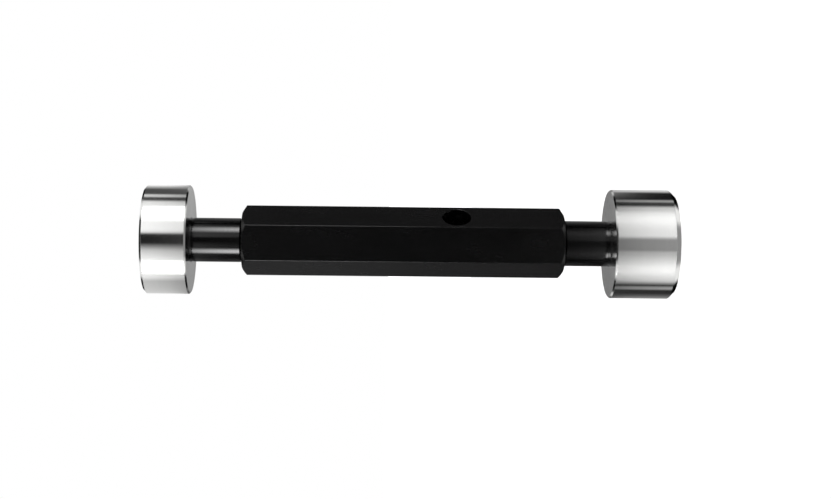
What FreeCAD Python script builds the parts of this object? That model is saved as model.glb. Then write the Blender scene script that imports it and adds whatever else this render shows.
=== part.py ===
import FreeCAD, Part
import os
import Sketcher

# Double-ended plain plug gauge for holes of 25 mm H7, in millimetres.
# A hexagonal handle holds a GO member at one end and a NO-GO member at the other.
# Each member is one turned and ground piece: gauging head, neck and a 1:50 shank
# that locks in the handle's taper socket and is knocked out through the drift hole.
# The gauge stands on the outer face of its GO head: that face is z = 0, the axis is +Z.

SIZES = {
    # gauging heads
    "go_diameter": 25.000,
    "no_go_diameter": 25.021,
    "go_head_length": 14.6,
    "no_go_head_length": 10.4,
    "go_lead_chamfer": 1.2,
    "no_go_lead_chamfer": 0.5,
    "inner_chamfer": 0.35,
    # necks, each as long as what shows between the handle and the head
    "go_neck_length": 10.6,
    "no_go_neck_length": 11.9,
    "go_shoulder_step": 0.7,
    "no_go_shoulder_step": 0.55,
    "neck_root_chamfer": 0.15,
    # round the neck, a shallow groove that lets the grinding wheel run out
    "relief_from_head": 0.45,
    "relief_width": 0.42,
    "relief_depth": 0.12,
    "neck_shoulder_chamfer": 0.2,
    "shoulder_gap": 0.3,
    # taper shanks and the sockets that they lock in
    "taper_diameter": 9.0,
    "taper_ratio": 50.0,
    "shank_length": 22.6,
    "shank_end_chamfer": 0.5,
    "socket_run_out": 2.5,
    "socket_mouth_chamfer": 0.2,
    # handle
    "across_flats": 14.0,
    "handle_length": 73.6,
    "handle_edge_radius": 0.25,
    "end_land_inset": 0.33,
    "end_bevel_angle": 35.0,
    "bore_step": 0.4,
    "drill_point_angle": 118.0,
    "drift_hole_diameter": 6.5,
    "drift_hole_past_shank": 2.0,
    "drift_hole_chamfer": 0.15,
    # centre holes, which the members are turned and ground between
    "centre_drill_diameter": 2.0,
    "centre_drill_depth": 4.0,
    "centre_mouth_diameter": 4.25,
    "centre_angle": 60.0,
}
PART_FOLDER = "parts"
SAME_PLACE = 1e-6

# Heights of the handle's two end faces above the GO head's outer face
HANDLE_FOOT = "sizes.go_head_length + sizes.go_neck_length"
HANDLE_TOP = f"{HANDLE_FOOT} + sizes.handle_length"


def taper_radius(depth):
    """The taper's radius at a depth below the handle's end face, for shank and socket."""
    return f"(sizes.taper_diameter / 2 - ({depth}) / (2 * sizes.taper_ratio))"


def make_sheet(doc):
    """The spreadsheet, with a row and an alias for each driving size."""
    sheet = doc.addObject("Spreadsheet::Sheet", "sizes")
    for row, (alias, value) in enumerate(SIZES.items(), start=1):
        sheet.set(f"A{row}", alias)
        sheet.set(f"B{row}", str(value))
        sheet.setAlias(f"B{row}", alias)
    doc.recompute()
    return sheet


def new_body(doc, label, base_height):
    """A body with its label, standing at a height along the gauge's axis."""
    body = doc.addObject("PartDesign::Body", label)
    body.Label = label
    body.setExpression("Placement.Base.z", base_height)
    return body


def new_sketch(body, name, role):
    """An empty sketch on one of the body's own origin planes, found by its role."""
    sketch = body.newObject("Sketcher::SketchObject", name)
    plane = next(item for item in body.Origin.OriginFeatures if item.Role == role)
    sketch.AttachmentSupport = [(plane, "")]
    sketch.MapMode = "FlatFace"
    return sketch


def hold(sketch, kind, geometry, point, name, expression):
    """Hold one coordinate of a sketch point at an expression of the sizes."""
    value = sketch.evalExpression(expression)
    index = sketch.addConstraint(Sketcher.Constraint(kind, -1, 1, geometry, point, value))
    sketch.renameConstraint(index, name)
    sketch.setExpression(f"Constraints.{name}", expression)


def half_section(body, name, corners):
    """A closed half section beside the body's Z axis, to revolve.

    Each corner is (label, radius, height), both as expressions. A radius or height
    of "0" holds the corner on that axis of the sketch."""
    sketch = new_sketch(body, name, "XZ_Plane")
    points = [FreeCAD.Vector(sketch.evalExpression(radius), sketch.evalExpression(height), 0)
              for _, radius, height in corners]
    following = list(range(1, len(points))) + [0]
    for point, after in enumerate(following):
        sketch.addGeometry(Part.LineSegment(points[point], points[after]), False)
    for point, after in enumerate(following):
        sketch.addConstraint(Sketcher.Constraint("Coincident", point, 2, after, 1))
    for point, (label, radius, height) in enumerate(corners):
        for kind, suffix, text, axis in (("DistanceX", "radius", radius, -2),
                                         ("DistanceY", "height", height, -1)):
            if text == "0":
                sketch.addConstraint(Sketcher.Constraint("PointOnObject", point, 1, axis))
            else:
                hold(sketch, kind, point, 1, f"{label}_{suffix}", text)
    return sketch


def revolve(body, kind, name, corners):
    """Turn a half section about the body's axis, as a Revolution or as a Groove."""
    sketch = half_section(body, f"{name}_section", corners)
    feature = body.newObject(f"PartDesign::{kind}", name)
    feature.Profile = sketch
    feature.ReferenceAxis = (sketch, ["V_Axis"])
    feature.Angle = 360
    body.Document.recompute()
    return feature


def round_edges(feature, radius, centre):
    """Names of the feature's circular edges with this radius and centre."""
    return [f"Edge{number}" for number, edge in enumerate(feature.Shape.Edges, start=1)
            if isinstance(edge.Curve, Part.Circle)
            and abs(edge.Curve.Radius - radius) < SAME_PLACE
            and edge.Curve.Center.distanceToPoint(centre) < SAME_PLACE]


def turned_edge(body, name, radius, height, alias):
    """Chamfer the round edge that a turned body has at this radius and height."""
    last = body.Tip
    edges = round_edges(last, radius, FreeCAD.Vector(0, 0, height))
    feature = body.newObject("PartDesign::Chamfer", name)
    feature.Base = (last, edges)
    feature.setExpression("Size", f"sizes.{alias}")
    body.Document.recompute()


def centre_hole(body, name, face, inward):
    """Drill a 60 degree centre in a round face; inward is "+" or "-", the way it goes."""
    mouth = "sizes.centre_mouth_diameter / 2"
    drill = "sizes.centre_drill_diameter / 2"
    cone = f"({mouth} - {drill}) / tan(sizes.centre_angle / 2)"
    depth = "sizes.centre_drill_depth"
    point = f"({depth} + {drill} / tan(sizes.drill_point_angle / 2))"
    revolve(body, "Groove", name, [
        ("face_centre", "0", face),
        ("mouth", mouth, face),
        ("cone_end", drill, f"{face} {inward} {cone}"),
        ("drill_end", drill, f"{face} {inward} {depth}"),
        ("drill_point", "0", f"{face} {inward} {point}"),
    ])


def relieve_neck(body, name, neck_radius, head_foot):
    """Turn the relief groove in the neck, with walls that slope at 45 degrees."""
    middle = f"{head_foot} - sizes.relief_from_head"
    outer = f"{neck_radius} + sizes.relief_depth"
    bottom = f"{neck_radius} - sizes.relief_depth"
    outer_half = "(sizes.relief_width / 2 + sizes.relief_depth)"
    bottom_half = "(sizes.relief_width / 2 - sizes.relief_depth)"
    revolve(body, "Groove", name, [
        ("low_side", outer, f"{middle} - {outer_half}"),
        ("low_corner", bottom, f"{middle} - {bottom_half}"),
        ("high_corner", bottom, f"{middle} + {bottom_half}"),
        ("high_side", outer, f"{middle} + {outer_half}"),
    ])


def make_member(doc, label, kind, base_height):
    """A gauging member in its own frame: z = 0 is the handle's end face, the head is above.

    kind is "go" or "no_go", the start of the aliases that belong to this member."""
    sheet = doc.getObject("sizes")
    body = new_body(doc, label, base_height)
    head_radius = f"sizes.{kind}_diameter / 2"
    neck_radius = f"(sizes.taper_diameter / 2 + sizes.{kind}_shoulder_step)"
    head_foot = f"sizes.{kind}_neck_length"
    head_top = f"{head_foot} + sizes.{kind}_head_length"
    shank_foot = "-sizes.shank_length"
    blank = revolve(body, "Revolution", f"{kind}_blank", [
        ("shank_centre", "0", shank_foot),
        ("shank_end", taper_radius("sizes.shank_length"), shank_foot),
        ("taper_top", taper_radius("-sizes.shoulder_gap"), "sizes.shoulder_gap"),
        ("shoulder", neck_radius, "sizes.shoulder_gap"),
        ("neck_root", neck_radius, head_foot),
        ("inner_rim", head_radius, head_foot),
        ("outer_rim", head_radius, head_top),
        ("face_centre", "0", head_top),
    ])
    rim = blank.evalExpression(head_radius)
    foot = blank.evalExpression(head_foot)
    top = blank.evalExpression(head_top)
    neck = blank.evalExpression(neck_radius)
    shank_end = blank.evalExpression(taper_radius("sizes.shank_length"))
    relieve_neck(body, f"{kind}_relief", neck_radius, head_foot)
    turned_edge(body, f"{kind}_neck_root", neck, foot, "neck_root_chamfer")
    turned_edge(body, f"{kind}_lead", rim, top, f"{kind}_lead_chamfer")
    turned_edge(body, f"{kind}_inner_edge", rim, foot, "inner_chamfer")
    turned_edge(body, f"{kind}_shoulder", neck, sheet.shoulder_gap, "neck_shoulder_chamfer")
    turned_edge(body, f"{kind}_shank_edge", shank_end, -sheet.shank_length, "shank_end_chamfer")
    centre_hole(body, f"{kind}_head_centre", head_top, "-")
    centre_hole(body, f"{kind}_shank_centre", shank_foot, "+")
    return body


def bevel_hexagon_end(body, name, face, inward):
    """Turn the hexagon's corners down to a round land; inward is "+" or "-" from the face."""
    land = "(sizes.across_flats / 2 - sizes.end_land_inset)"
    outside = "sizes.across_flats"
    drop = f"({outside} - {land}) * tan(sizes.end_bevel_angle)"
    revolve(body, "Groove", name, [
        ("land", land, face),
        ("outside_face", outside, face),
        ("outside_side", outside, f"{face} {inward} {drop}"),
    ])


def bore_handle(body):
    """Bore the handle through, and ream a taper socket into each end."""
    end = "sizes.handle_length"
    chamfer = "sizes.socket_mouth_chamfer"
    mouth = f"{taper_radius(chamfer)} + {chamfer}"
    socket = "(sizes.shank_length + sizes.socket_run_out)"
    socket_radius = taper_radius(socket)
    bore = f"{socket_radius} - sizes.bore_step"
    step = "sizes.bore_step / tan(sizes.drill_point_angle / 2)"
    revolve(body, "Groove", "taper_sockets", [
        ("low_centre", "0", "0"),
        ("low_mouth", mouth, "0"),
        ("low_taper_top", taper_radius(chamfer), chamfer),
        ("low_taper_end", socket_radius, socket),
        ("low_bore", bore, f"{socket} + {step}"),
        ("high_bore", bore, f"{end} - {socket} - {step}"),
        ("high_taper_end", socket_radius, f"{end} - {socket}"),
        ("high_taper_top", taper_radius(chamfer), f"{end} - {chamfer}"),
        ("high_mouth", mouth, end),
        ("high_centre", "0", end),
    ])


def drill_drift_hole(body):
    """Drill one flat through to the bore, where the GO member's shank ends."""
    sketch = new_sketch(body, "drift_hole_circle", "XZ_Plane")
    from_end = "sizes.shank_length + sizes.drift_hole_past_shank"
    height = sketch.evalExpression(from_end)
    radius = sketch.evalExpression("sizes.drift_hole_diameter / 2")
    flat = sketch.evalExpression("sizes.across_flats / 2")
    sketch.addGeometry(Part.Circle(FreeCAD.Vector(0, height, 0), FreeCAD.Vector(0, 0, 1), radius))
    sketch.addConstraint(Sketcher.Constraint("PointOnObject", 0, 3, -2))
    hold(sketch, "DistanceY", 0, 3, "from_end", from_end)
    index = sketch.addConstraint(Sketcher.Constraint("Diameter", 0, 2 * radius))
    sketch.renameConstraint(index, "diameter")
    sketch.setExpression("Constraints.diameter", "sizes.drift_hole_diameter")
    pocket = body.newObject("PartDesign::Pocket", "drift_hole")
    pocket.Profile = sketch
    pocket.Type = "ThroughAll"
    pocket.Reversed = True
    body.Document.recompute()
    mouth = round_edges(pocket, radius, FreeCAD.Vector(0, -flat, height))
    chamfer = body.newObject("PartDesign::Chamfer", "drift_hole_edge")
    chamfer.Base = (pocket, mouth)
    chamfer.setExpression("Size", "sizes.drift_hole_chamfer")
    body.Document.recompute()


def make_handle(doc):
    """The hexagonal handle in its own frame, from its GO end at z = 0 upwards."""
    body = new_body(doc, "handle", HANDLE_FOOT)
    bar = body.newObject("PartDesign::AdditivePrism", "hexagon_bar")
    bar.Polygon = 6
    bar.setExpression("Circumradius", "sizes.across_flats / 2 / cos(30)")
    bar.setExpression("Height", "sizes.handle_length")
    doc.recompute()
    long_edges = [f"Edge{number}" for number, edge in enumerate(bar.Shape.Edges, start=1)
                  if abs(edge.tangentAt(edge.FirstParameter).z) > 0.5]
    corners = body.newObject("PartDesign::Fillet", "broken_corners")
    corners.Base = (bar, long_edges)
    corners.setExpression("Radius", "sizes.handle_edge_radius")
    doc.recompute()
    bevel_hexagon_end(body, "low_bevel", "0", "+")
    bevel_hexagon_end(body, "high_bevel", "sizes.handle_length", "-")
    bore_handle(body)
    drill_drift_hole(body)
    return body


def check(doc, bodies):
    """Stop if a feature failed, a cut removed nothing, or a body isn't one valid solid."""
    doc.recompute()
    failed = [item.Name for item in doc.Objects if {"Invalid", "Error"} & set(item.State)]
    for body in bodies:
        failed += [item.Name for item in body.Group
                   if item.TypeId in ("PartDesign::Groove", "PartDesign::Pocket")
                   and item.Shape.Volume >= item.BaseFeature.Shape.Volume]
        if body.Shape.isNull() or not body.Shape.isValid() or len(body.Shape.Solids) != 1:
            failed.append(body.Label)
    if failed:
        raise RuntimeError("not made: " + ", ".join(failed))


document = FreeCAD.newDocument("plug_gauge")
make_sheet(document)
handle = make_handle(document)
no_go_member = make_member(document, "no_go_member", "no_go", HANDLE_TOP)
go_member = make_member(document, "go_member", "go", HANDLE_FOOT)
go_member.Placement.Rotation = FreeCAD.Rotation(FreeCAD.Vector(1, 0, 0), 180)
pieces = [handle, go_member, no_go_member]
check(document, pieces)

os.makedirs(PART_FOLDER, exist_ok=True)
for piece in pieces:
    piece.Shape.exportStep(f"{PART_FOLDER}/{piece.Label}.step")
    box = piece.Shape.BoundBox
    print(f"{piece.Label}: {piece.Shape.Volume:.1f} mm3, z {box.ZMin:.3f} to {box.ZMax:.3f}")
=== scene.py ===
import math

import bmesh
import bpy
import numpy as np
from mathutils import Matrix, Vector


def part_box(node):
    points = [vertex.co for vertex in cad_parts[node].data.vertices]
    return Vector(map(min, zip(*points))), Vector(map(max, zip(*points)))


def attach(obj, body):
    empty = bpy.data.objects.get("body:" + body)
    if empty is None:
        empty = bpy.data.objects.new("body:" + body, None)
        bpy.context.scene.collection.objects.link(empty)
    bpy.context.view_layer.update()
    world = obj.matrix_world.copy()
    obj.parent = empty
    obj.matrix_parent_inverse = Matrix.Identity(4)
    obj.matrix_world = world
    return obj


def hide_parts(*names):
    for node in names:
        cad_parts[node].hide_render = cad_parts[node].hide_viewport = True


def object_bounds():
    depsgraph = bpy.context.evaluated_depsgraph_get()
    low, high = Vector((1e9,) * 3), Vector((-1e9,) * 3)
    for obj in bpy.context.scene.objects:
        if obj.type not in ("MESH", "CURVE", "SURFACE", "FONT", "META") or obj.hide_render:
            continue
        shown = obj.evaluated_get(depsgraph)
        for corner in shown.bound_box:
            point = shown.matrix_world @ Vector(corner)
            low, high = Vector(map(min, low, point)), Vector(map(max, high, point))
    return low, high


# A double-ended plug gauge: a black hexagonal handle with a bright GO head at its foot
# and a bright NO-GO head at its top. It stands on the GO head, with its axis on Z.
# Sizes are in metres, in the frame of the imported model.
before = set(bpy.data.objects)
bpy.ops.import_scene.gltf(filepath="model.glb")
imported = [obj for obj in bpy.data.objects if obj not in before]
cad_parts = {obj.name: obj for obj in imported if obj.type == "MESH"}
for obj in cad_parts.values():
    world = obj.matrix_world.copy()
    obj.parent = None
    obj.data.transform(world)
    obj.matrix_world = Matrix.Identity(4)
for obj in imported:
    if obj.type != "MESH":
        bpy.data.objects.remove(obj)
cad_low, cad_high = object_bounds()

# ---------------------------------------------------------------------------
# Handle. A length of hexagonal aluminium bar with its end corners turned down to a
# round land, bored through, reamed to a 1:50 taper at each end and drilled across one
# flat for the drift that knocks the GO member out. It is anodised black all over.
# ---------------------------------------------------------------------------
HANDLE_EDGE_RADIUS = 0.00025
END_LAND_INSET = 0.00033
END_BEVEL_ANGLE = math.radians(35)
END_LAND_ROUND = 0.00012
END_BEVEL_ROUND = 0.00008
SOCKET_ROUND = 0.00005
TAPER_RADIUS = 0.0045
TAPER_RATE = 1 / 100
SHANK_LENGTH = 0.0226
SOCKET_RUN_OUT = 0.0025
SOCKET_LENGTH = SHANK_LENGTH + SOCKET_RUN_OUT
SOCKET_MOUTH_CHAMFER = 0.0002
BORE_STEP = 0.0004
DRILL_HALF_ANGLE = math.radians(59)
DRIFT_HOLE_RADIUS = 0.00325
DRIFT_HOLE_CHAMFER = 0.00015
DRIFT_HOLE_PAST_SHANK = 0.002
DRIFT_HOLE_HEIGHT = SHANK_LENGTH + DRIFT_HOLE_PAST_SHANK
DRIFT_MOUTH_ROUND = 0.0001
DRIFT_HOLE_TURNS = 96
DRILL_OVERSHOOT = 0.001
ARC_STEP = math.radians(9)

handle_low, handle_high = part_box("handle")
half_flats = handle_high.y


def rounded_profile(corners, rounding):
    """Rows of a profile with its corners rounded, and the corner that owns each row.

    corners is an array (corner, column, 2) of radius and height. A corner P, whose arc
    runs from A to B, becomes ((1-t)^2 A + 2wt(1-t) P + t^2 B) / ((1-t)^2 + 2wt(1-t) + t^2),
    which is a true arc when w is the sine of half the angle at P."""
    rows = []
    owners = []
    for index, radius in enumerate(rounding):
        corner = corners[index]
        if radius == 0:
            rows.append(corner[None])
            owners.append(index)
            continue
        back = corners[index - 1] - corner
        ahead = corners[(index + 1) % len(corners)] - corner
        back = back / np.linalg.norm(back, axis=1, keepdims=True)
        ahead = ahead / np.linalg.norm(ahead, axis=1, keepdims=True)
        half_angle = np.arccos((back * ahead).sum(axis=1, keepdims=True)) / 2
        reach = radius / np.tan(half_angle)
        weight = np.sin(half_angle)
        steps = math.ceil((math.pi - 2 * half_angle.min()) / ARC_STEP)
        t = np.linspace(0, 1, steps + 1)[:, None, None]
        middle = 2 * weight * t * (1 - t)
        arc = (1 - t) ** 2 * (corner + back * reach) + t ** 2 * (corner + ahead * reach)
        rows.append((arc + middle * corner) / ((1 - t) ** 2 + t ** 2 + middle))
        owners += [index] * (steps + 1)
    return np.concatenate(rows), np.array(owners)


def carry_round(name, profile, angle):
    """A closed mesh from a profile carried round the axis.

    A point is (r cos a, r sin a, h), for r and h of profile[row, column] and a of
    angle[column]. The last column joins the first. A profile that starts on the axis
    ends on it too, and closes in two poles; any other closes on itself as a tube does.
    The UV map is once round the axis in u, and metres along the profile in v."""
    radius, height = profile[..., 0], profile[..., 1]
    rows, columns = radius.shape
    tube = radius[0].max() > 0
    points = np.stack([radius * np.cos(angle), radius * np.sin(angle), height], axis=2)
    steps = np.hypot(np.diff(radius[:, 0], append=radius[0, 0]),
                     np.diff(height[:, 0], append=height[0, 0]))
    along = np.concatenate([[0], np.cumsum(steps)])
    row, column = np.meshgrid(np.arange(rows if tube else rows - 1), np.arange(columns),
                              indexing="ij")
    ahead_row = np.stack([row, row, row + 1, row + 1], axis=2)
    ahead_column = np.stack([column, column + 1, column + 1, column], axis=2)
    quads = (ahead_row % rows) * columns + ahead_column % columns
    mesh = bpy.data.meshes.new(name)
    mesh.from_pydata(points.reshape(-1, 3).tolist(), [], quads.reshape(-1, 4).tolist())
    layer = mesh.uv_layers.new(name="round")
    layer.data.foreach_set("uv", np.stack([ahead_column / columns, along[ahead_row]], axis=3).ravel())
    return mesh, row.ravel()


def close_poles(mesh):
    """Merge the points that lie on each other, so that a row on the axis is one point."""
    work = bmesh.new()
    work.from_mesh(mesh)
    bmesh.ops.remove_doubles(work, verts=work.verts, dist=1e-7)
    work.to_mesh(mesh)
    work.free()


def smooth_by_area(mesh):
    """Shade smooth with each point's normal the sum of (area x normal) of its faces.

    The large faces win at a rounded edge, so flats stay flat and only edges are round."""
    count = len(mesh.polygons)
    area = np.empty(count)
    normal = np.empty((count, 3))
    corners = np.empty(count, int)
    points = np.empty(len(mesh.loops), int)
    mesh.polygons.foreach_get("area", area)
    mesh.polygons.foreach_get("normal", normal.reshape(-1))
    mesh.polygons.foreach_get("loop_total", corners)
    mesh.loops.foreach_get("vertex_index", points)
    weighted = np.repeat(normal * area[:, None], corners, axis=0)
    total = np.zeros((len(mesh.vertices), 3))
    np.add.at(total, points, weighted)
    total /= np.linalg.norm(total, axis=1, keepdims=True)
    mesh.shade_smooth()
    mesh.normals_split_custom_set_from_vertices(total.tolist())


def add_piece(name, mesh):
    """A new object for a mesh, at the origin."""
    piece = bpy.data.objects.new(name, mesh)
    bpy.context.scene.collection.objects.link(piece)
    return piece


def taper_radius(depth):
    """Radius of the 1:50 taper at a depth below the handle's end face."""
    return TAPER_RADIUS - TAPER_RATE * depth


def hexagon_outline(half_width, edge_radius, flat_points, arc_points):
    """A hexagon with rounded corners, as complex numbers x + iy, with flats on -Y and +Y.

    A flat is half_width + it. Points crowd towards its ends, as t goes with the sine of
    an even angle. A corner is an arc of edge_radius about a point on the corner's line.
    One side is turned by 60 degrees five times for the rest."""
    inner = half_width - edge_radius
    reach = inner * math.tan(math.pi / 6)
    flat = half_width + 1j * reach * np.sin(np.linspace(-math.pi / 2, math.pi / 2, flat_points))
    turn = np.linspace(0, math.pi / 3, arc_points + 2)[1:-1]
    corner = inner / math.cos(math.pi / 6) * np.exp(1j * math.pi / 6) + edge_radius * np.exp(1j * turn)
    side = np.concatenate([flat, corner])
    return (side * np.exp(1j * math.pi * (np.arange(6)[:, None] / 3 - 1 / 2))).ravel()


def handle_mesh():
    """The hexagon carried along the handle's section, from one socket to the other.

    The section is land, bevel, side, bevel, land, socket, bore and socket again."""
    outline = hexagon_outline(half_flats, HANDLE_EDGE_RADIUS, flat_points=21, arc_points=6)
    outside = np.abs(outline)
    land = half_flats - END_LAND_INSET
    drop = (outside - land) * math.tan(END_BEVEL_ANGLE)
    foot, top = handle_low.z, handle_high.z
    socket_radius = taper_radius(SOCKET_LENGTH)
    bore = socket_radius - BORE_STEP
    step = BORE_STEP / math.tan(DRILL_HALF_ANGLE)
    mouth = taper_radius(SOCKET_MOUTH_CHAMFER)
    corners = [
        (land, foot, END_LAND_ROUND),
        (outside, foot + drop, END_BEVEL_ROUND),
        (outside, top - drop, END_BEVEL_ROUND),
        (land, top, END_LAND_ROUND),
        (mouth + SOCKET_MOUTH_CHAMFER, top, SOCKET_ROUND),
        (mouth, top - SOCKET_MOUTH_CHAMFER, SOCKET_ROUND),
        (socket_radius, top - SOCKET_LENGTH, 0),
        (bore, top - SOCKET_LENGTH - step, 0),
        (bore, foot + SOCKET_LENGTH + step, 0),
        (socket_radius, foot + SOCKET_LENGTH, 0),
        (mouth, foot + SOCKET_MOUTH_CHAMFER, SOCKET_ROUND),
        (mouth + SOCKET_MOUTH_CHAMFER, foot, SOCKET_ROUND),
    ]
    columns = np.ones(len(outline))
    places = np.array([(radius * columns, height * columns) for radius, height, _ in corners])
    profile, _ = rounded_profile(places.transpose(0, 2, 1), [row[2] for row in corners])
    mesh, _ = carry_round("handle_black_bar", profile, np.angle(outline))
    return mesh


def drift_drill():
    """The drill for the drift hole: a round bar along -Y with a flared mouth."""
    height = handle_low.z + DRIFT_HOLE_HEIGHT
    outside = half_flats + DRILL_OVERSHOOT
    corners = np.array([
        (0, outside),
        (DRIFT_HOLE_RADIUS + DRIFT_HOLE_CHAMFER + DRILL_OVERSHOOT, outside),
        (DRIFT_HOLE_RADIUS, half_flats - DRIFT_HOLE_CHAMFER),
        (DRIFT_HOLE_RADIUS, 0),
        (0, 0),
    ])[::-1]
    turns = np.linspace(-math.pi, math.pi, DRIFT_HOLE_TURNS, endpoint=False)
    profile, _ = rounded_profile(corners[:, None], [0, 0, DRIFT_MOUTH_ROUND, 0, 0])
    profile = np.repeat(profile, DRIFT_HOLE_TURNS, axis=1)
    mesh, _ = carry_round("drift_drill", profile, turns)
    close_poles(mesh)
    mesh.transform(Matrix.Translation((0, 0, height)) @ Matrix.Rotation(math.pi / 2, 4, "X"))
    return mesh


def drilled(mesh, drill_mesh):
    """The mesh with the drill's shape cut out of it."""
    piece = add_piece("uncut_bar", mesh)
    drill = add_piece("drift_drill", drill_mesh)
    cut = piece.modifiers.new("drift_hole", "BOOLEAN")
    cut.object = drill
    cut.operation = "DIFFERENCE"
    cut.solver = "EXACT"
    shape = piece.evaluated_get(bpy.context.evaluated_depsgraph_get())
    result = bpy.data.meshes.new_from_object(shape)
    bpy.data.objects.remove(piece)
    bpy.data.objects.remove(drill)
    return result


def new_finish(name, colour, roughness, metallic=0.0):
    """A material with one Principled shader, and that shader."""
    material = bpy.data.materials.new(name)
    material.use_nodes = True
    shader = material.node_tree.nodes["Principled BSDF"]
    shader.inputs["Base Color"].default_value = (*colour, 1)
    shader.inputs["Roughness"].default_value = roughness
    shader.inputs["Metallic"].default_value = metallic
    return material, shader


def object_noise(tree, scale, detail):
    """Noise on the piece's own coordinates, with a scale along each axis."""
    place = tree.nodes.new("ShaderNodeTexCoord")
    mapping = tree.nodes.new("ShaderNodeMapping")
    noise = tree.nodes.new("ShaderNodeTexNoise")
    mapping.inputs["Scale"].default_value = scale
    noise.inputs["Scale"].default_value = 1
    noise.inputs["Detail"].default_value = detail
    tree.links.new(place.outputs["Object"], mapping.inputs["Vector"])
    tree.links.new(mapping.outputs["Vector"], noise.inputs["Vector"])
    return noise.outputs["Fac"]


def spread(tree, value, low, high):
    """A value from 0.3 to 0.7, the usual range of noise, spread from low to high."""
    node = tree.nodes.new("ShaderNodeMapRange")
    node.inputs["From Min"].default_value = 0.3
    node.inputs["From Max"].default_value = 0.7
    node.inputs["To Min"].default_value = low
    node.inputs["To Max"].default_value = high
    tree.links.new(value, node.inputs["Value"])
    return node.outputs["Result"]


def raise_surface(tree, shader, value, distance):
    """Bump the surface with a value, by a distance in metres."""
    bump = tree.nodes.new("ShaderNodeBump")
    bump.inputs["Distance"].default_value = distance
    tree.links.new(value, bump.inputs["Height"])
    tree.links.new(bump.outputs["Normal"], shader.inputs["Normal"])


def anodised_black():
    """Etched and anodised bar: fine lines along the bar, and a slightly uneven sheen."""
    material, shader = new_finish("anodised_black", (0.0025, 0.0025, 0.0027), 0.3)
    shader.inputs["Specular IOR Level"].default_value = 0.35
    tree = material.node_tree
    sheen = object_noise(tree, (260, 260, 120), 3)
    tree.links.new(spread(tree, sheen, 0.22, 0.28), shader.inputs["Roughness"])
    raise_surface(tree, shader, object_noise(tree, (1500, 1500, 25), 1), 1e-6)
    return material


handle = add_piece("handle_black_bar", drilled(handle_mesh(), drift_drill()))
handle.data.name = "handle_black_bar"
handle.data.materials.append(anodised_black())
smooth_by_area(handle.data)
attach(handle, "root")
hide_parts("handle")

# ---------------------------------------------------------------------------
# GO member. One piece of hardened gauge steel, turned, blackened all over and then
# ground between centres: the head is lapped bright, the neck stays black, and the
# shank locks in the handle's taper. A large lead chamfer starts the head in a hole.
# ---------------------------------------------------------------------------
MEMBER_TURNS = 288
CHANGES_ROUND = 90
LEAD_CHAMFER = {"go_member": 0.0012, "no_go_member": 0.0005}
NECK_LENGTH = {"go_member": 0.0106, "no_go_member": 0.0119}
NECK_RADIUS = {"go_member": 0.0052, "no_go_member": 0.00505}
INNER_CHAMFER = 0.00035
HEAD_EDGE_ROUND = 0.00006
LEAD_EDGE_ROUND = {"go_member": 0.0001, "no_go_member": 0.00008}
NECK_ROOT_RADIUS = 0.0002
NECK_EDGE_ROUND = 0.00004
RELIEF_FROM_HEAD = 0.00045
RELIEF_WIDTH = 0.00042
RELIEF_DEPTH = 0.00012
RELIEF_ROUND = 0.00006
SHOULDER_GAP = 0.0003
SHOULDER_CHAMFER = 0.0002
SHANK_END_CHAMFER = 0.0005
CENTRE_MOUTH_RADIUS = 0.002125
CENTRE_DRILL_RADIUS = 0.001
CENTRE_DRILL_DEPTH = 0.004
CENTRE_CONE_DEPTH = (CENTRE_MOUTH_RADIUS - CENTRE_DRILL_RADIUS) / math.tan(math.pi / 6)
CENTRE_POINT_DEPTH = CENTRE_DRILL_DEPTH + CENTRE_DRILL_RADIUS / math.tan(DRILL_HALF_ANGLE)


def round_lines(tree, pitch):
    """Noise drawn out round the axis: it changes slowly with x and y, and quickly with
    the distance along the profile, so that it makes the fine lines of a turned piece."""
    place = tree.nodes.new("ShaderNodeTexCoord")
    flat = tree.nodes.new("ShaderNodeSeparateXYZ")
    unrolled = tree.nodes.new("ShaderNodeSeparateXYZ")
    joined = tree.nodes.new("ShaderNodeCombineXYZ")
    mapping = tree.nodes.new("ShaderNodeMapping")
    noise = tree.nodes.new("ShaderNodeTexNoise")
    mapping.inputs["Scale"].default_value = (CHANGES_ROUND, CHANGES_ROUND, 1 / pitch)
    noise.inputs["Scale"].default_value = 1
    noise.inputs["Detail"].default_value = 3
    tree.links.new(place.outputs["Object"], flat.inputs["Vector"])
    tree.links.new(place.outputs["UV"], unrolled.inputs["Vector"])
    tree.links.new(flat.outputs["X"], joined.inputs["X"])
    tree.links.new(flat.outputs["Y"], joined.inputs["Y"])
    tree.links.new(unrolled.outputs["Y"], joined.inputs["Z"])
    tree.links.new(joined.outputs["Vector"], mapping.inputs["Vector"])
    tree.links.new(mapping.outputs["Vector"], noise.inputs["Vector"])
    return noise.outputs["Fac"]


def turned_finish(name, colour, metallic, roughness, drawn_out, pitch, depth):
    """A finish with lines round the axis, which draw its highlights out across them.

    roughness is (lowest, highest), drawn_out is how much longer a highlight is across
    the lines, and pitch and depth are those of the lines, in metres."""
    material, shader = new_finish(name, colour, roughness[0], metallic)
    tree = material.node_tree
    tangent = tree.nodes.new("ShaderNodeTangent")
    tangent.direction_type = "UV_MAP"
    tangent.uv_map = "round"
    tree.links.new(tangent.outputs["Tangent"], shader.inputs["Tangent"])
    shader.inputs["Anisotropic"].default_value = drawn_out
    shader.inputs["Anisotropic Rotation"].default_value = 0.25
    lines = round_lines(tree, pitch)
    tree.links.new(spread(tree, lines, *roughness), shader.inputs["Roughness"])
    raise_surface(tree, shader, lines, depth)
    return material


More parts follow.
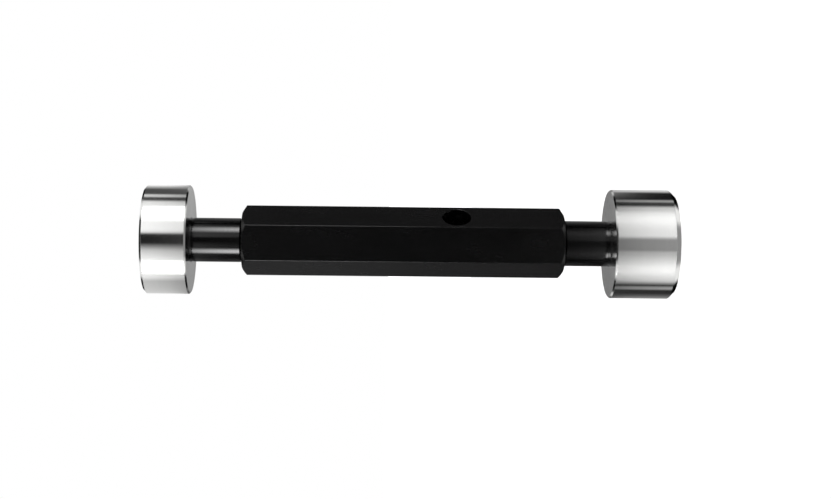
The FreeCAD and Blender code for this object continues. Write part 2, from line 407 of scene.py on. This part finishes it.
MEMBER_FINISHES = [
    turned_finish("lapped_steel", (0.8, 0.8, 0.79), 1.0, (0.13, 0.16), 0.6, 1.2e-4, 1e-8),
    turned_finish("ground_face_steel", (0.72, 0.72, 0.71), 1.0, (0.15, 0.18), 0.3, 1.5e-4, 3e-8),
    turned_finish("blackened_steel", (0.002, 0.002, 0.0021), 0.0, (0.12, 0.16), 0.3, 1.5e-4, 5e-8),
]
LAPPED, FACE, BLACK = range(len(MEMBER_FINISHES))


def make_member(node, name, outer_face, inward):
    """A member from the centre hole in its head to the one in its shank.

    The half section is measured from the head's outer face; inward is +1 where the
    shank is above the head, and -1 where it is below."""
    low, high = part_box(node)
    head_radius = high.x
    root = high.z - low.z - SHANK_LENGTH - NECK_LENGTH[node]
    relief = root + RELIEF_FROM_HEAD
    neck = NECK_RADIUS[node]
    bottom = neck - RELIEF_DEPTH
    shoulder = root + NECK_LENGTH[node] - SHOULDER_GAP
    end = high.z - low.z
    corners = [
        (0, CENTRE_POINT_DEPTH, 0, FACE),
        (CENTRE_DRILL_RADIUS, CENTRE_DRILL_DEPTH, 0, FACE),
        (CENTRE_DRILL_RADIUS, CENTRE_CONE_DEPTH, 0, FACE),
        (CENTRE_MOUTH_RADIUS, 0, HEAD_EDGE_ROUND, FACE),
        (head_radius - LEAD_CHAMFER[node], 0, HEAD_EDGE_ROUND, LAPPED),
        (head_radius, LEAD_CHAMFER[node], LEAD_EDGE_ROUND[node], LAPPED),
        (head_radius, root - INNER_CHAMFER, HEAD_EDGE_ROUND, FACE),
        (head_radius - INNER_CHAMFER, root, HEAD_EDGE_ROUND, FACE),
        (neck, root, NECK_ROOT_RADIUS, BLACK),
        (neck, relief - RELIEF_WIDTH / 2, RELIEF_ROUND / 2, BLACK),
        (bottom, relief - RELIEF_WIDTH / 2 + RELIEF_DEPTH, RELIEF_ROUND, BLACK),
        (bottom, relief + RELIEF_WIDTH / 2 - RELIEF_DEPTH, RELIEF_ROUND, BLACK),
        (neck, relief + RELIEF_WIDTH / 2, RELIEF_ROUND / 2, BLACK),
        (neck, shoulder - SHOULDER_CHAMFER, NECK_EDGE_ROUND, BLACK),
        (neck - SHOULDER_CHAMFER, shoulder, NECK_EDGE_ROUND, BLACK),
        (taper_radius(-SHOULDER_GAP), shoulder, 0, BLACK),
        (taper_radius(0), shoulder + SHOULDER_GAP, 0, FACE),
        (taper_radius(SHANK_LENGTH - SHANK_END_CHAMFER), end - SHANK_END_CHAMFER, 0, FACE),
        (taper_radius(SHANK_LENGTH) - SHANK_END_CHAMFER, end, 0, FACE),
        (CENTRE_MOUTH_RADIUS, end, 0, FACE),
        (CENTRE_DRILL_RADIUS, end - CENTRE_CONE_DEPTH, 0, FACE),
        (CENTRE_DRILL_RADIUS, end - CENTRE_DRILL_DEPTH, 0, FACE),
        (0, end - CENTRE_POINT_DEPTH, 0, FACE),
    ]
    places = np.array([(radius, height) for radius, height, _, _ in corners])[:, None]
    profile, owners = rounded_profile(places, [row[2] for row in corners])
    profile = np.repeat(profile, MEMBER_TURNS, axis=1)
    profile[..., 1] = outer_face + inward * profile[..., 1]
    turns = np.linspace(-math.pi, math.pi, MEMBER_TURNS, endpoint=False)
    mesh, rows = carry_round(name, profile, turns * inward)
    finishes = np.array([row[3] for row in corners])[owners]
    for finish in MEMBER_FINISHES:
        mesh.materials.append(finish)
    mesh.polygons.foreach_set("material_index", finishes[rows])
    close_poles(mesh)
    smooth_by_area(mesh)
    member = add_piece(name, mesh)
    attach(member, "root")
    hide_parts(node)
    return member


go_member = make_member("go_member", "go_gauging_member", cad_low.z, 1)

# ---------------------------------------------------------------------------
# NO-GO member. The same piece for the other end: its head is 21 micrometres larger,
# and shorter, with a smaller lead chamfer, because it should never enter a good hole.
# ---------------------------------------------------------------------------
no_go_member = make_member("no_go_member", "no_go_gauging_member", cad_high.z, -1)

# ---------------------------------------------------------------------------
# Studio. A white floor, a round light tent with a dark slot behind the camera and dark
# gaps at the sides, two strip lights at the NO-GO neck, and the camera, which is turned
# on its side so that the gauge lies across the view with its foot at the right.
# ---------------------------------------------------------------------------
CAMERA_AZIMUTH = math.radians(-55.2)
CAMERA_ROLL = math.radians(0.6)
CAMERA_DISTANCE = 0.36
CAMERA_TARGET = Vector((0, 0, 0.07))
TENT_RADIUS = 0.7
TENT_MIDDLE = 0.06
TENT_HALF_HEIGHT = 0.9
FLOOR_GLOW = 0.75


def round_axis(azimuth):
    """A level direction: azimuth 0 is -Y, and it turns towards +X."""
    return Vector((math.sin(azimuth), -math.cos(azimuth), 0))


def stage_mesh(name, points, faces, material):
    """A piece of the studio, which isn't part of the gauge."""
    mesh = bpy.data.meshes.new(name)
    mesh.from_pydata(points, [], faces)
    mesh.materials.append(material)
    thing = add_piece(name, mesh)
    return thing


def floor_finish():
    """White paper, with a little glow for the camera alone so that it meets the backdrop."""
    material, shader = new_finish("floor_white", (0.9, 0.9, 0.9), 0.9)
    tree = material.node_tree
    path = tree.nodes.new("ShaderNodeLightPath")
    shader.inputs["Emission Color"].default_value = (1, 1, 1, 1)
    scale = tree.nodes.new("ShaderNodeMath")
    scale.operation = "MULTIPLY"
    scale.inputs[1].default_value = FLOOR_GLOW
    tree.links.new(path.outputs["Is Camera Ray"], scale.inputs[0])
    tree.links.new(scale.outputs["Value"], shader.inputs["Emission Strength"])
    return material


floor = stage_mesh("floor", [(-4, -4, 0), (4, -4, 0), (4, 4, 0), (-4, 4, 0)], [(0, 1, 2, 3)],
                   floor_finish())
floor.visible_glossy = False

# Soft panels of the tent. Angles are round the axis from the camera, in degrees, and grow
# upwards: a panel's glow starts at the first, is full from the second to the third, and
# ends at the fourth. Then come its foot and top, and its glow. The heights are those that
# the GO head mirrors, then its neck with the lower half of the handle, the upper half with
# the NO-GO neck, and the NO-GO head. The last two are those that a smaller part mirrors.
GO_HEAD = (-0.22, -0.094)
LOWER_HALF = (-0.094, 0.06)
UPPER_HALF = (0.06, 0.183)
NO_GO_HEAD = (0.19, 0.34)
NO_GO_INNER_FACE = (0, 0.06)
HANDLE_UNDERSIDE = (-0.075, 0.155)
TENT_PANELS = [
    ((10, 15, 85, 91), NO_GO_HEAD, 1.17),
    ((12, 20, 64, 76), NO_GO_HEAD, 0.25),
    ((44, 50, 63, 70), NO_GO_HEAD, 0.6),
    ((88, 92, 135, 150), NO_GO_HEAD, 0.08),
    ((98, 101, 107, 111), NO_GO_HEAD, 0.8),
    ((131, 158, 175, 205), NO_GO_HEAD, 1.0),
    ((-185, -155, -23, -8), NO_GO_HEAD, 0.75),
    ((-98, -86, -45, -14), NO_GO_HEAD, 0.5),
    ((-80, -68, -45, -20), NO_GO_HEAD, 0.25),
    ((-72, -66, -52, -44), NO_GO_HEAD, 0.5),
    ((12, 20, 70, 90), UPPER_HALF, 0.6),
    ((38, 53, 59, 75), UPPER_HALF, 9.5),
    ((-20, -14, 12, 20), UPPER_HALF, 0.1),
    ((105, 130, 140, 165), UPPER_HALF, 0.17),
    ((100, 150, 175, 262), UPPER_HALF, 0.19),
    ((-85, -70, -30, -14), UPPER_HALF, 0.15),
    ((-78, -67, -58, -44), UPPER_HALF, 14),
    ((15, 50, 52, 75), LOWER_HALF, 0.2),
    ((100, 150, 184, 214), LOWER_HALF, 0.24),
    ((100, 150, 170, 182), LOWER_HALF, 0.22),
    ((150, 170, 182, 200), NO_GO_INNER_FACE, 0.15),
    ((-155, -140, -118, -108), HANDLE_UNDERSIDE, 0.15),
    ((-12, -6, 11, 14), GO_HEAD, 0.42),
    ((10, 15, 82, 90), GO_HEAD, 0.87),
    ((12, 18, 68, 77), GO_HEAD, 0.37),
    ((28, 48, 58, 68), GO_HEAD, 0.22),
    ((88, 94, 104, 108), GO_HEAD, 0.07),
    ((98, 101, 105, 109), GO_HEAD, 0.38),
    ((137, 151, 160, 234), GO_HEAD, 0.68),
    ((-140, -130, -115, -110), GO_HEAD, 0.028),
    ((-113, -108, -103, -96), GO_HEAD, 0.42),
    ((-96, -84, -17, -6), GO_HEAD, 0.72),
    ((-88, -58, -48, -20), GO_HEAD, 0.72),
]
TENT_COLUMNS = 720
TENT_ROWS = 401
TENT_SOFT_EDGE = 0.012
TENT_RING_TILT = (0.6, 0.68, 0.84, 0.9)
TENT_RING_GLOW = 1.0
TENT_FOOT_GLOW = 0.3
TENT_TOP_GLOW = 0.02


def tent_material():
    """Light given off by the tent, as bright as its own attribute says."""
    material = bpy.data.materials.new("tent_light")
    material.use_nodes = True
    tree = material.node_tree
    tree.nodes.clear()
    glow = tree.nodes.new("ShaderNodeAttribute")
    glow.attribute_name = "glow"
    light = tree.nodes.new("ShaderNodeEmission")
    output = tree.nodes.new("ShaderNodeOutputMaterial")
    tree.links.new(glow.outputs["Fac"], light.inputs["Strength"])
    tree.links.new(light.outputs["Emission"], output.inputs["Surface"])
    return material


def make_tent():
    """A closed egg round the gauge whose glow depends on the angle and the height.

    A point is (R cos t sin a, -R cos t cos a, C + H sin t) for a tilt t from pole to pole.
    Its glow is the sum of the panels that it lies on, a ring round each pole, and a cap."""
    angle = np.linspace(-180, 180, TENT_COLUMNS + 1)[None, :-1]
    tilt = np.linspace(-math.pi / 2, math.pi / 2, TENT_ROWS)[:, None]
    turn = CAMERA_AZIMUTH + np.radians(angle)
    height = TENT_MIDDLE + TENT_HALF_HEIGHT * np.sin(tilt)
    radius = TENT_RADIUS * np.cos(tilt)
    points = np.stack([radius * np.sin(turn), -radius * np.cos(turn), height + 0 * angle], axis=2)
    glow = np.zeros(points.shape[:2])
    for angles, (foot, top), brightness in TENT_PANELS:
        across = np.maximum(np.interp(angle, angles, (0, 1, 1, 0)),
                            np.interp(angle + 360, angles, (0, 1, 1, 0)))
        along = np.clip(np.minimum(height - foot, top - height) / TENT_SOFT_EDGE + 0.5, 0, 1)
        glow += brightness * across * along
    ring = np.interp(np.abs(np.sin(tilt)), TENT_RING_TILT, (0, 1, 1, 0))
    cap = np.interp(np.abs(np.sin(tilt)), TENT_RING_TILT[2:], (0, 1))
    glow += TENT_RING_GLOW * ring + np.where(tilt < 0, TENT_FOOT_GLOW, TENT_TOP_GLOW) * cap
    rows, columns = glow.shape
    row, column = np.meshgrid(np.arange(rows - 1), np.arange(columns), indexing="ij")
    beside = (column + 1) % columns
    faces = np.stack([row * columns + column, row * columns + beside,
                      (row + 1) * columns + beside, (row + 1) * columns + column], axis=2)
    tent = stage_mesh("light_tent", points.reshape(-1, 3).tolist(), faces.reshape(-1, 4).tolist(),
                      tent_material())
    attribute = tent.data.attributes.new("glow", "FLOAT", "POINT")
    attribute.data.foreach_set("value", glow.ravel())
    tent.visible_camera = False
    return tent


make_tent()

world = bpy.data.worlds.new("white_studio")
bpy.context.scene.world = world
world.use_nodes = True
tree = world.node_tree
tree.nodes["Background"].inputs["Color"].default_value = (1, 1, 1, 1)

towards_camera = round_axis(CAMERA_AZIMUTH)
view_up = round_axis(CAMERA_AZIMUTH + math.pi / 2)
view_right = Vector((0, 0, -1)) * math.cos(CAMERA_ROLL) + view_up * math.sin(CAMERA_ROLL)
view_up = towards_camera.cross(view_right)
camera_data = bpy.data.cameras.new("camera")
camera_data.lens = 67.7
camera_data.sensor_width = 36
camera_data.shift_x = 0.0572
camera_data.shift_y = -0.0097
camera_data.clip_start = 0.01
camera = bpy.data.objects.new("camera", camera_data)
bpy.context.scene.collection.objects.link(camera)
turned = Matrix((view_right, view_up, towards_camera)).transposed()
place = Matrix.Translation(CAMERA_TARGET + towards_camera * CAMERA_DISTANCE)
camera.matrix_world = place @ turned.to_4x4()
bpy.context.scene.camera = camera
bpy.context.scene.view_settings.view_transform = "Standard"
